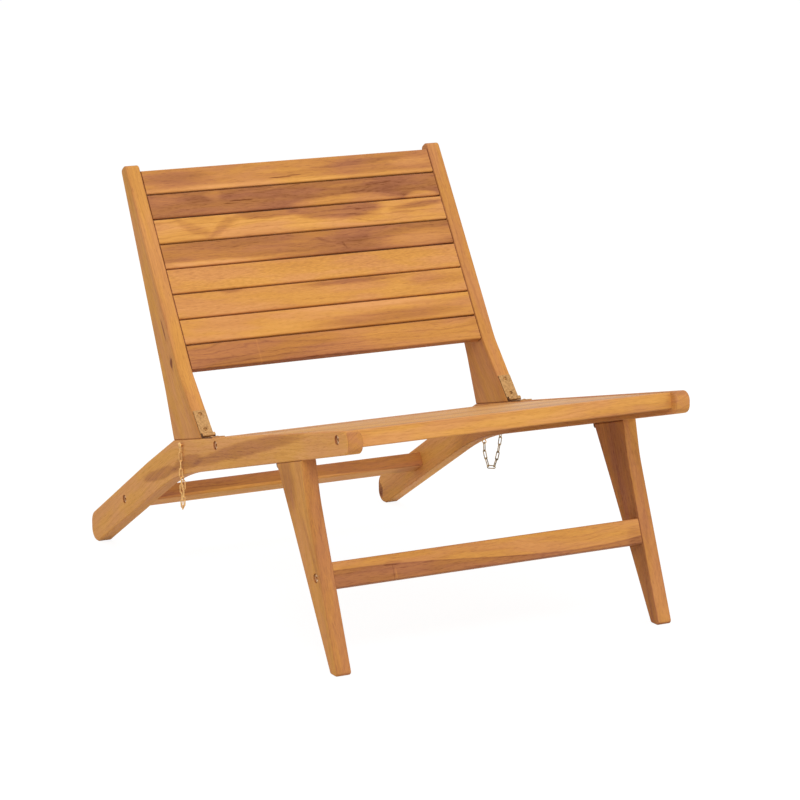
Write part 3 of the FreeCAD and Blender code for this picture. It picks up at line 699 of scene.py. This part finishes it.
@dataclass(frozen=True)
class ChairLines:
    """The chair's own lines that the grain follows. Angles are degrees and places are metres."""

    seat_slope: float = 12.25
    rear_leg_slope: float = 29.07
    stile_lean: float = 32.52
    stile_foot_lean: float = 42.0
    front_leg_lean: float = 21.16
    sideways: Triple = (1.0, 0.0, 0.0)
    rail_bend: Pair = (0.1275, 0.2347)
    stile_bend: Pair = (0.095, 0.335)
    front_foot: Pair = (-0.42, 0.0)
    board_middle: float = 0.268

    def side(self, node: str) -> float:
        """The sideways place of a left or right board's middle."""
        return -self.board_middle if node.endswith("left") else self.board_middle

    def rail(self, node: str) -> GrainLines:
        """Grain along a side rail, which turns down into the rear leg at the bend."""
        seat, leg = slope(self.seat_slope), slope(self.rear_leg_slope)
        return GrainLines((self.side(node), *self.rail_bend), *seat, *leg)

    def stile(self, node: str) -> GrainLines:
        """Grain along a stile, with the lower end leaning further back."""
        foot, upper = lean(self.stile_foot_lean), lean(self.stile_lean)
        return GrainLines((self.side(node), *self.stile_bend), *foot, *upper)

    def front_leg(self, node: str) -> GrainLines:
        """Grain along a front leg, from its foot up."""
        return GrainLines((self.side(node), *self.front_foot), *lean(self.front_leg_lean))

    def crosswise(self, node: str, across: Triple) -> GrainLines:
        """Grain of a board that runs from side to side, with its own box's middle as the origin."""
        low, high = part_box(node)
        return GrainLines(tuple((low + high) / 2.0), self.sideways, across)


class Timber:
    """Dresses boards, with one shared pair of grain groups."""

    def __init__(self, nodes: dict[str, bpy.types.Object]) -> None:
        """Takes the frame's nodes and builds the shared groups.

        Args:
            nodes: the frame's objects by node name.
        """
        grain = TeakGrain()
        self.nodes = nodes
        self.lines = ChairLines()
        self.grain = grain.grain_group()
        self.figure = grain.figure_group()

    def dress(self, lines: GrainLines, finish: TeakFinish) -> None:
        """Gives a board its own teak, with the grain along those lines."""
        give(self.nodes[finish.node], finish.material(lines, self.grain, self.figure))
        log.info("%s: teak, %d figures", finish.node, len(finish.figures))

    def dress_across(self, across: Triple, *finishes: TeakFinish) -> None:
        """Dresses boards that run from side to side."""
        for finish in finishes:
            self.dress(self.lines.crosswise(finish.node, across), finish)


@dataclass(frozen=True)
class Backrest:
    """Two stiles with eight slats between them. Places are metres from a slat's middle."""

    half_span: float = 0.256
    joint_half_width: float = 0.0014
    joint_half_height: float = 0.06
    joint_dark: float = 0.55
    # Painted shade on the slats' narrow sides, which darkens the gaps between them; the lowest slat has
    # its own.
    gap_painted_shade: float = 0.02
    lowest_gap_painted_shade: float = 0.14
    # Below zero, so the slats' rounded edges are lighter: a painted highlight.
    edge_dark: float = -0.02

    def slats(self) -> tuple[TeakFinish, ...]:
        """Gives the eight slats' teak from the top down, with the figures that each face shows.

        Returns:
            One finish for each slat.
        """
        joint = (0.0, self.joint_half_width, self.joint_half_height, self.joint_dark)
        ends = tuple(Figure(side * self.half_span, *joint, edge=Edge.CRISP) for side in (-1, 1))
        shared = {"side_painted_shade": self.gap_painted_shade, "edge_dark": self.edge_dark}
        # Light along its lower edge, darker at the left, with two fine cracks and a streak.
        first = TeakFinish(
            "back_slat_1", seed=1.3, tone=0.43, rings=0.04, edge_dark=self.edge_dark, figures=(
                *ends,
                Figure(0.0, -0.018, 0.4, 0.008, -0.22),
                Figure(-0.21, 0.004, 0.09, 0.012, 0.18),
                Figure(-0.021, -0.0095, 0.022, 0.0009, 0.45, edge=Edge.CRISP),
                Figure(0.005, -0.0075, 0.014, 0.0008, 0.4, edge=Edge.CRISP),
                Figure(0.12, 0.006, 0.1, 0.0055, 0.2, tilt=0.045),
                Figure(0.22, 0.0, 0.05, 0.01, -0.14),
            ))
        # The darkest slat, with a pale knot at the left and light fields low on the right.
        second = TeakFinish(
            "back_slat_2", seed=7.9, tone=0.72, bands=0.16, rings=0.05, **shared, figures=(
                *ends,
                Figure(-0.143, 0.012, 0.018, 0.011, -0.18),
                Figure(-0.225, 0.01, 0.035, 0.008, -0.1),
                Figure(-0.168, 0.003, 0.024, 0.012, 0.05),
                Figure(-0.116, 0.004, 0.026, 0.012, 0.05),
                Figure(-0.098, -0.001, 0.022, 0.001, 0.3, edge=Edge.CRISP),
                Figure(-0.12, -0.005, 0.012, 0.0008, 0.22, edge=Edge.CRISP),
                Figure(0.085, -0.021, 0.115, 0.018, -0.36, edge=Edge.SOFT),
                Figure(0.222, -0.021, 0.036, 0.013, -0.4, edge=Edge.SOFT),
                Figure(0.1, 0.012, 0.07, 0.0035, -0.1, tilt=0.06),
                Figure(0.175, 0.0, 0.035, 0.007, 0.04),
            ))
        # Two dark wings that meet in a V, then dark fields along the upper edge.
        third = TeakFinish(
            "back_slat_3", seed=4.2, tone=0.23, bands=0.16, rings=0.16, **shared, figures=(
                *ends,
                Figure(-0.196, 0.001, 0.034, 0.012, 0.2, tilt=-0.52, bow=9.0),
                Figure(-0.138, 0.003, 0.034, 0.012, 0.24, tilt=0.52, bow=-9.0),
                Figure(-0.168, -0.012, 0.014, 0.008, 0.14),
                Figure(-0.175, 0.013, 0.035, 0.01, 0.1),
                Figure(-0.06, 0.017, 0.065, 0.013, 0.36, edge=Edge.SOFT),
                Figure(0.065, 0.014, 0.095, 0.021, 0.42, edge=Edge.SOFT),
                Figure(0.1, -0.003, 0.05, 0.007, 0.14),
                Figure(0.215, 0.009, 0.06, 0.0075, 0.38, tilt=0.055),
                Figure(0.18, -0.002, 0.03, 0.004, 0.16),
                Figure(0.148, 0.005, 0.016, 0.013, -0.07),
            ))
        # Dark, with a pale lower edge at the left, a faint feather and a lighter right end.
        fourth = TeakFinish(
            "back_slat_4", seed=9.6, tone=0.64, bands=0.14, rings=0.05, **shared, figures=(
                *ends,
                Figure(-0.12, 0.013, 0.16, 0.01, 0.12),
                Figure(-0.2, -0.021, 0.15, 0.012, -0.44),
                Figure(-0.05, -0.018, 0.12, 0.008, -0.14),
                Figure(0.058, 0.002, 0.02, 0.014, 0.07),
                Figure(0.09, 0.001, 0.026, 0.013, 0.1, tilt=0.25),
                Figure(0.026, 0.004, 0.02, 0.0035, 0.14, tilt=-0.3),
                Figure(0.06, -0.008, 0.0025, 0.008, 0.12),
                Figure(0.2, -0.006, 0.1, 0.018, -0.3, tilt=0.04),
            ))
        # Plain and light, with specks.
        fifth = TeakFinish(
            "back_slat_5", seed=12.4, tone=0.27, bands=0.14, streaks=0.22, rings=0.03, specks=0.42,
            **shared, figures=ends)
        # Light, with darker streaks.
        sixth = TeakFinish(
            "back_slat_6", seed=15.1, tone=0.28, bands=0.16, streaks=0.26, rings=0.03, specks=0.26,
            **shared, figures=(
                *ends,
                Figure(-0.158, 0.019, 0.028, 0.005, 0.3),
                Figure(0.05, 0.015, 0.11, 0.007, 0.34),
                Figure(0.2, 0.003, 0.07, 0.012, 0.18),
            ))
        # Light, with one broad darker band.
        seventh = TeakFinish(
            "back_slat_7", seed=18.8, tone=0.28, bands=0.16, rings=0.03, **shared, figures=(
                *ends,
                Figure(0.1, -0.008, 0.17, 0.014, 0.3, tilt=0.02),
                Figure(0.1, 0.016, 0.22, 0.006, -0.1),
            ))
        # Darker, with clear year rings and a slightly lighter right half.
        eighth = TeakFinish(
            "back_slat_8", seed=22.5, tone=0.50, bands=0.24, rings=0.13,
            side_painted_shade=self.lowest_gap_painted_shade, figures=(
                *ends,
                Figure(-0.19, -0.01, 0.08, 0.006, 0.12),
                Figure(-0.136, 0.0, 0.0014, 0.06, -0.07, edge=Edge.CRISP),
                Figure(0.15, 0.0, 0.14, 0.03, -0.08),
            ))
        return first, second, third, fourth, fifth, sixth, seventh, eighth

    def stiles(self) -> tuple[TeakFinish, ...]:
        """Gives the stiles' teak, with the left one's dark line, knot and mark.

        Returns:
            One finish for each stile.
        """
        left = TeakFinish(
            "back_stile_left", seed=31.4, tone=0.39, bands=0.22, pith=(0.0, -0.06, 0.07), figures=(
                Figure(0.2, 0.004, 0.16, 0.0035, 0.22, tilt=0.01),
                Figure(0.037, -0.0155, 0.018, 0.007, 0.18),
                Figure(0.037, -0.0155, 0.0078, 0.0062, 0.42, edge=Edge.SOFT),
                Figure(0.091, -0.0147, 0.019, 0.0026, 0.5, edge=Edge.SOFT),
            ))
        # The right stile's front and back faces are painted lighter: painted light.
        right = TeakFinish(
            "back_stile_right", seed=35.7, tone=0.44, bands=0.22, side_painted_shade=-0.08,
            pith=(0.0, 0.08, -0.05))
        return left, right

    def dress(self, timber: Timber) -> None:
        """Dresses the slats and the stiles.

        Args:
            timber: what dresses a board.
        """
        up, _ = lean(timber.lines.stile_lean)
        timber.dress_across(up, *self.slats())
        for stile in self.stiles():
            timber.dress(timber.lines.stile(stile.node), stile)


@dataclass(frozen=True)
class SeatFrame:
    """Two bent side rails, the seat boards between them and the rear stretcher."""

    slat_count: int = 10
    lightest_tone: float = 0.30
    tone_step: float = 0.07
    tone_stride: int = 3
    tone_turns: int = 4
    first_seed: float = 60.0
    seed_step: float = 3.7
    weathered: TeakColours = TeakColours(
        pale=(226, 178, 106), honey=(208, 154, 84), amber=(188, 132, 72), brown=(160, 106, 60),
        dark=(116, 68, 38))
    # Painted shade on the seat slats' narrow sides, which darkens the gaps between them.
    gap_painted_shade: float = 0.35
    sheen: float = 0.30
    worn_smooth: float = 0.48
    bolts: tuple[Pair, ...] = ((-0.5791, -0.0113), (-0.1589, -0.0113), (0.2444, -0.0217))

    def rails(self) -> tuple[TeakFinish, ...]:
        """Gives the side rails' teak, with the left one's long dark swoosh along the bend.

        Returns:
            One finish for each rail.
        """
        holes = tuple(bolt_hole(*place) for place in self.bolts)
        # Painted shade on the left rail's upper and lower faces.
        left = TeakFinish(
            "side_rail_left", seed=41.2, tone=0.18, bands=0.12, side_painted_shade=0.12, end_dark=0.28,
            pith=(0.0, -0.10, 0.06), figures=(
                *holes,
                Figure(-0.27, -0.0178, 0.23, 0.013, 0.32, tilt=-0.087, bow=-0.09, edge=Edge.SOFT),
                Figure(-0.045, -0.036, 0.075, 0.013, 0.32, tilt=-0.1, edge=Edge.SOFT),
                Figure(0.075, -0.032, 0.085, 0.011, 0.32, tilt=0.19, edge=Edge.SOFT),
            ))
        # Painted shade on the right rail's upper face, and painted light on its underside.
        right = TeakFinish(
            "side_rail_right", seed=47.5, tone=0.44, bands=0.20, side_painted_shade=0.10, under_painted_shade=-0.20,
            end_dark=0.0, pith=(0.0, 0.10, -0.06), figures=(
                *holes,
                # A dark crescent at the heel's inner face: painted shade.
                Figure(0.402, -0.015, 0.01, 0.026, 0.54, edge=Edge.SOFT),
                # A lighter field on the rear leg's inner face: painted light.
                Figure(0.26, -0.015, 0.22, 0.07, -0.22, edge=Edge.SOFT),
            ))
        return left, right

    def seat_boards(self) -> tuple[TeakFinish, ...]:
        """Gives the teak of the seat's rails and slats, lighter and darker in turn.

        Returns:
            One finish for each board.
        """
        front = TeakFinish("seat_front_rail", seed=52.3, tone=0.36, bands=0.26, rings=0.05)
        rear = TeakFinish("seat_rear_rail", seed=55.9, tone=0.40)
        boards = [front, rear]
        for number in range(1, self.slat_count + 1):
            steps = number * self.tone_stride % self.tone_turns
            boards.append(TeakFinish(
                f"seat_slat_{number}", seed=self.first_seed + self.seed_step * number,
                tone=self.lightest_tone + self.tone_step * steps, bands=0.28, streaks=0.45,
                side_painted_shade=self.gap_painted_shade, specular=self.sheen, roughness=self.worn_smooth,
                colours=self.weathered))
        return tuple(boards)

    def stretcher(self) -> TeakFinish:
        """The rear stretcher's teak, lighter along its lower edge."""
        # Painted light on its upper and lower faces, from a side darkness below zero.
        return TeakFinish(
            "rear_stretcher", seed=101.5, tone=0.58, bands=0.10, streaks=0.36, side_painted_shade=-0.18,
            figures=(
                Figure(-0.05, -0.0155, 1.2, 0.0098, -0.34, bow=-0.08, edge=Edge.CRISP),
            ))

    def dress(self, timber: Timber) -> None:
        """Dresses the rails, the seat boards and the rear stretcher.

        Args:
            timber: what dresses a board.
        """
        for rail in self.rails():
            timber.dress(timber.lines.rail(rail.node), rail)
        back, _ = slope(timber.lines.seat_slope)
        timber.dress_across(back, *self.seat_boards())
        _, up = slope(timber.lines.rear_leg_slope)
        timber.dress_across(up, self.stretcher())


@dataclass(frozen=True)
class LegFrame:
    """Two front legs and the stretcher between them, which fold together."""

    bolt: Pair = (0.1406, -0.0019)

    def legs(self) -> tuple[TeakFinish, ...]:
        """Gives the legs' teak.

        Returns:
            One finish for each leg.
        """
        # Painted shade on the left leg's front and back faces.
        left = TeakFinish(
            "front_leg_left", seed=111.8, tone=0.32, bands=0.24, rings=0.05, specks=0.20,
            side_painted_shade=0.12, pith=(0.0, -0.10, 0.05), figures=(
                bolt_hole(*self.bolt),
                Figure(0.285, -0.04, 0.05, 0.035, 0.2),
                Figure(0.19, -0.004, 0.08, 0.006, 0.16, tilt=-0.2),
                Figure(0.107, 0.022, 0.003, 0.0024, 0.55, edge=Edge.SOFT),
                Figure(0.275, 0.06, 0.035, 0.03, 0.24),
            ))
        # Painted light on the right leg's front and back faces.
        right = TeakFinish(
            "front_leg_right", seed=117.3, tone=0.60, bands=0.20, rings=0.05, specks=0.22,
            side_painted_shade=-0.17, pith=(0.0, -0.10, -0.05), figures=(
                bolt_hole(*self.bolt),
                Figure(0.2, -0.006, 0.24, 0.034, 0.16, tilt=-0.09),
            ))
        return left, right

    def stretcher(self) -> TeakFinish:
        """The stretcher's teak: light above a wavy line, darker below it, with one glued joint."""
        wavy = {"tilt": 0.0418, "bow": 0.162, "swing": -0.0158, "wave": 0.89, "edge": Edge.CRISP}
        return TeakFinish(
            "front_stretcher", seed=123.6, tone=0.30, bands=0.14, figures=(
                Figure(0.03, -0.0275, 1.2, 0.02, 0.32, **wavy),
                Figure(0.03, -0.0095, 1.2, 0.0012, 0.1, **wavy),
                Figure(-0.163, 0.005, 0.018, 0.0045, 0.14, edge=Edge.SOFT),
                Figure(-0.162, -0.009, 0.0009, 0.013, 0.12, edge=Edge.CRISP),
                Figure(-0.158, -0.01, 0.0012, 0.009, -0.12, edge=Edge.CRISP),
                Figure(0.245, -0.006, 0.02, 0.02, 0.16),
            ))

    def dress(self, timber: Timber) -> None:
        """Dresses the legs and the stretcher.

        Args:
            timber: what dresses a board.
        """
        for leg in self.legs():
            timber.dress(timber.lines.front_leg(leg.node), leg)
        up, _ = lean(timber.lines.front_leg_lean)
        timber.dress_across(up, self.stretcher())


@dataclass(frozen=True)
class Fittings:
    """Hinges, chains, screws, bolts and nuts."""

    # Hinges and screws get painted shade on their sides and undersides, and the chains on their
    # undersides, beside their tarnish.
    hinges: MetalFinish = MetalFinish(
        "hinge_brass", (194, 150, 98), (98, 62, 34), tarnish=0.42, painted_side_shade=0.9, painted_underside_shade=0.8,
        roughness=0.40, patch=0.0035)
    screws: MetalFinish = MetalFinish(
        "screw_brass", (176, 128, 76), (78, 48, 26), tarnish=0.9, painted_side_shade=0.5, painted_underside_shade=0.6,
        patch=0.002)
    left_chain: MetalFinish = MetalFinish(
        "chain_brass", (246, 198, 128), (150, 104, 56), tarnish=0.4, painted_underside_shade=0.25, patch=0.005)
    # The right chain is the left chain's brass painted darker and greyer: painted shade.
    shaded_right_chain: MetalFinish = MetalFinish(
        "shaded_chain_brass", (196, 166, 118), (92, 74, 48), tarnish=0.8, painted_underside_shade=0.5, patch=0.005)
    bolts: MetalFinish = MetalFinish(
        "bolt_metal", (232, 194, 150), (160, 120, 84), tarnish=0.5, patch=0.003)

    def finish_of(self, node: str) -> MetalFinish | None:
        """Picks a fitting's metal by its node's name.

        Args:
            node: the node's name.

        Returns:
            Its metal, or nothing for a board.
        """
        if node.startswith("chain"):
            return self.shaded_right_chain if node.endswith("right") else self.left_chain
        if node.endswith(("bolts", "nuts")):
            return self.bolts
        if node.endswith("screws"):
            return self.screws
        return self.hinges if "hinge" in node else None

    def dress(self, nodes: dict[str, bpy.types.Object]) -> None:
        """Gives every fitting its metal, one material for each kind.

        Args:
            nodes: the frame's objects by node name.
        """
        made: dict[str, bpy.types.Material] = {}
        for node, piece in nodes.items():
            finish = self.finish_of(node)
            if finish is None:
                continue
            if finish.name not in made:
                made[finish.name] = finish.material()
            give(piece, made[finish.name])
            log.info("%s: %s", node, finish.name)


@dataclass(frozen=True)
class Lamp:
    """One soft area lamp that looks at the chair's middle."""

    name: str
    place: Triple
    size: float
    watts: float


@dataclass(frozen=True)
class Studio:
    """White floor and background, soft lamps, and the camera where the photograph was taken.

    Places and sizes are metres, angles are degrees, and the lens and its sensor are millimetres.
    """

    place: Triple = (-2.18035, -4.24978, 1.30949)
    turned: float = 27.70
    looks_down: float = 12.03
    rolled: float = -0.478
    lens: float = 141.53
    sensor: float = 36.0
    sight: float = 200.0
    target: Triple = (0.0, 0.0, 0.30)
    ambient: float = 0.66
    floor_reach: float = 30.0
    floor_glow: float = 0.92
    floor_shade: float = 0.14
    floor_bounce: float = 0.80
    lamps: tuple[Lamp, ...] = (
        Lamp("key_lamp", (-1.5, -3.1, 3.0), 2.2, 62.0),
        Lamp("fill_lamp", (2.8, -2.2, 1.9), 2.4, 22.0),
        Lamp("top_lamp", (0.2, 0.9, 3.4), 2.6, 24.0),
    )

    def camera(self) -> None:
        """Sets up the camera from its place and its three angles."""
        angles = (self.turned, self.looks_down, self.rolled)
        turn, drop, roll = (math.radians(angle) for angle in angles)
        reach = math.cos(drop)
        forward = Vector((math.sin(turn) * reach, math.cos(turn) * reach, -math.sin(drop)))
        level = Vector((math.cos(turn), -math.sin(turn), 0.0))
        upright = level.cross(forward)
        right = level * math.cos(roll) + upright * math.sin(roll)
        axes = Matrix((right, right.cross(forward), -forward)).transposed().to_4x4()
        data = bpy.data.cameras.new("photo_camera")
        data.lens = self.lens
        data.sensor_width = self.sensor
        data.clip_end = self.sight
        camera = into_scene("photo_camera", data)
        camera.matrix_world = Matrix.Translation(self.place) @ axes
        bpy.context.scene.camera = camera

    def lit(self) -> None:
        """Hangs the soft lamps."""
        for lamp in self.lamps:
            data = bpy.data.lights.new(lamp.name, "AREA")
            data.shape = "DISK"
            data.size = lamp.size
            data.energy = lamp.watts
            piece = into_scene(lamp.name, data)
            piece.location = lamp.place
            aim = Vector(self.target) - Vector(lamp.place)
            piece.rotation_euler = aim.to_track_quat("-Z", "Y").to_euler()

    def show(self, bench: Bench, light: bpy.types.Node, seen: bpy.types.Node, output: str) -> None:
        """Ends a tree with one shader for the chair's light and one for what the camera sees.

        Args:
            bench: the tree.
            light: the shader for light on its way to the chair.
            seen: the shader that the camera sees, straight or in metal.
            output: the output node's type.
        """
        path = bench.add("ShaderNodeLightPath").outputs
        shown = bench.math("MAXIMUM", path["Is Camera Ray"], path["Is Glossy Ray"])
        shown = bench.math("MAXIMUM", shown, path["Is Transmission Ray"])
        mix = bench.add("ShaderNodeMixShader")
        bench.add(output, {"Surface": bench.run(mix, shown, light.outputs[0], seen.outputs[0])})

    def backdrop(self) -> None:
        """Makes the world white where it is seen and softer where it lights the chair."""
        world = bpy.data.worlds.new("studio")
        world.use_nodes = True
        bench = Bench(world.node_tree)
        world.node_tree.nodes.clear()
        light = bench.add("ShaderNodeBackground", {"Color": grey(1.0), "Strength": self.ambient})
        seen = bench.add("ShaderNodeBackground", {"Color": grey(1.0)})
        self.show(bench, light, seen, "ShaderNodeOutputWorld")
        bpy.context.scene.world = world

    def floor(self) -> None:
        """Lays the floor: pale, with a faint shadow under the chair."""
        corners = np.array([(-1, -1), (1, -1), (1, 1), (-1, 1)]) * self.floor_reach
        mesh = bpy.data.meshes.new("floor")
        mesh.from_pydata(np.column_stack((corners, np.zeros(4))).tolist(), [], [(0, 1, 2, 3)])
        floor = into_scene("floor", mesh)
        made, bench = new_material("pale_floor")
        made.node_tree.nodes.clear()
        bounce = bench.add("ShaderNodeBsdfDiffuse", {"Color": grey(self.floor_bounce)})
        shade = bench.add("ShaderNodeBsdfDiffuse", {"Color": grey(self.floor_shade)})
        glow = bench.add("ShaderNodeEmission", {"Strength": self.floor_glow})
        both = bench.add("ShaderNodeAddShader")
        bench.run(both, shade.outputs[0], glow.outputs[0])
        self.show(bench, bounce, both, "ShaderNodeOutputMaterial")
        mesh.materials.append(made)

    def build(self) -> None:
        """Sets up the whole studio."""
        self.camera()
        self.lit()
        self.backdrop()
        self.floor()
        bpy.context.scene.view_settings.view_transform = "Standard"


def main() -> None:
    """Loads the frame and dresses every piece."""
    logging.basicConfig(level=logging.INFO, format="%(message)s")
    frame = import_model()
    Studio().build()
    timber = Timber(frame["nodes"])
    for assembly in (Backrest(), SeatFrame(), LegFrame()):
        assembly.dress(timber)
    Fittings().dress(frame["nodes"])


if __name__ == "__main__":
    main()
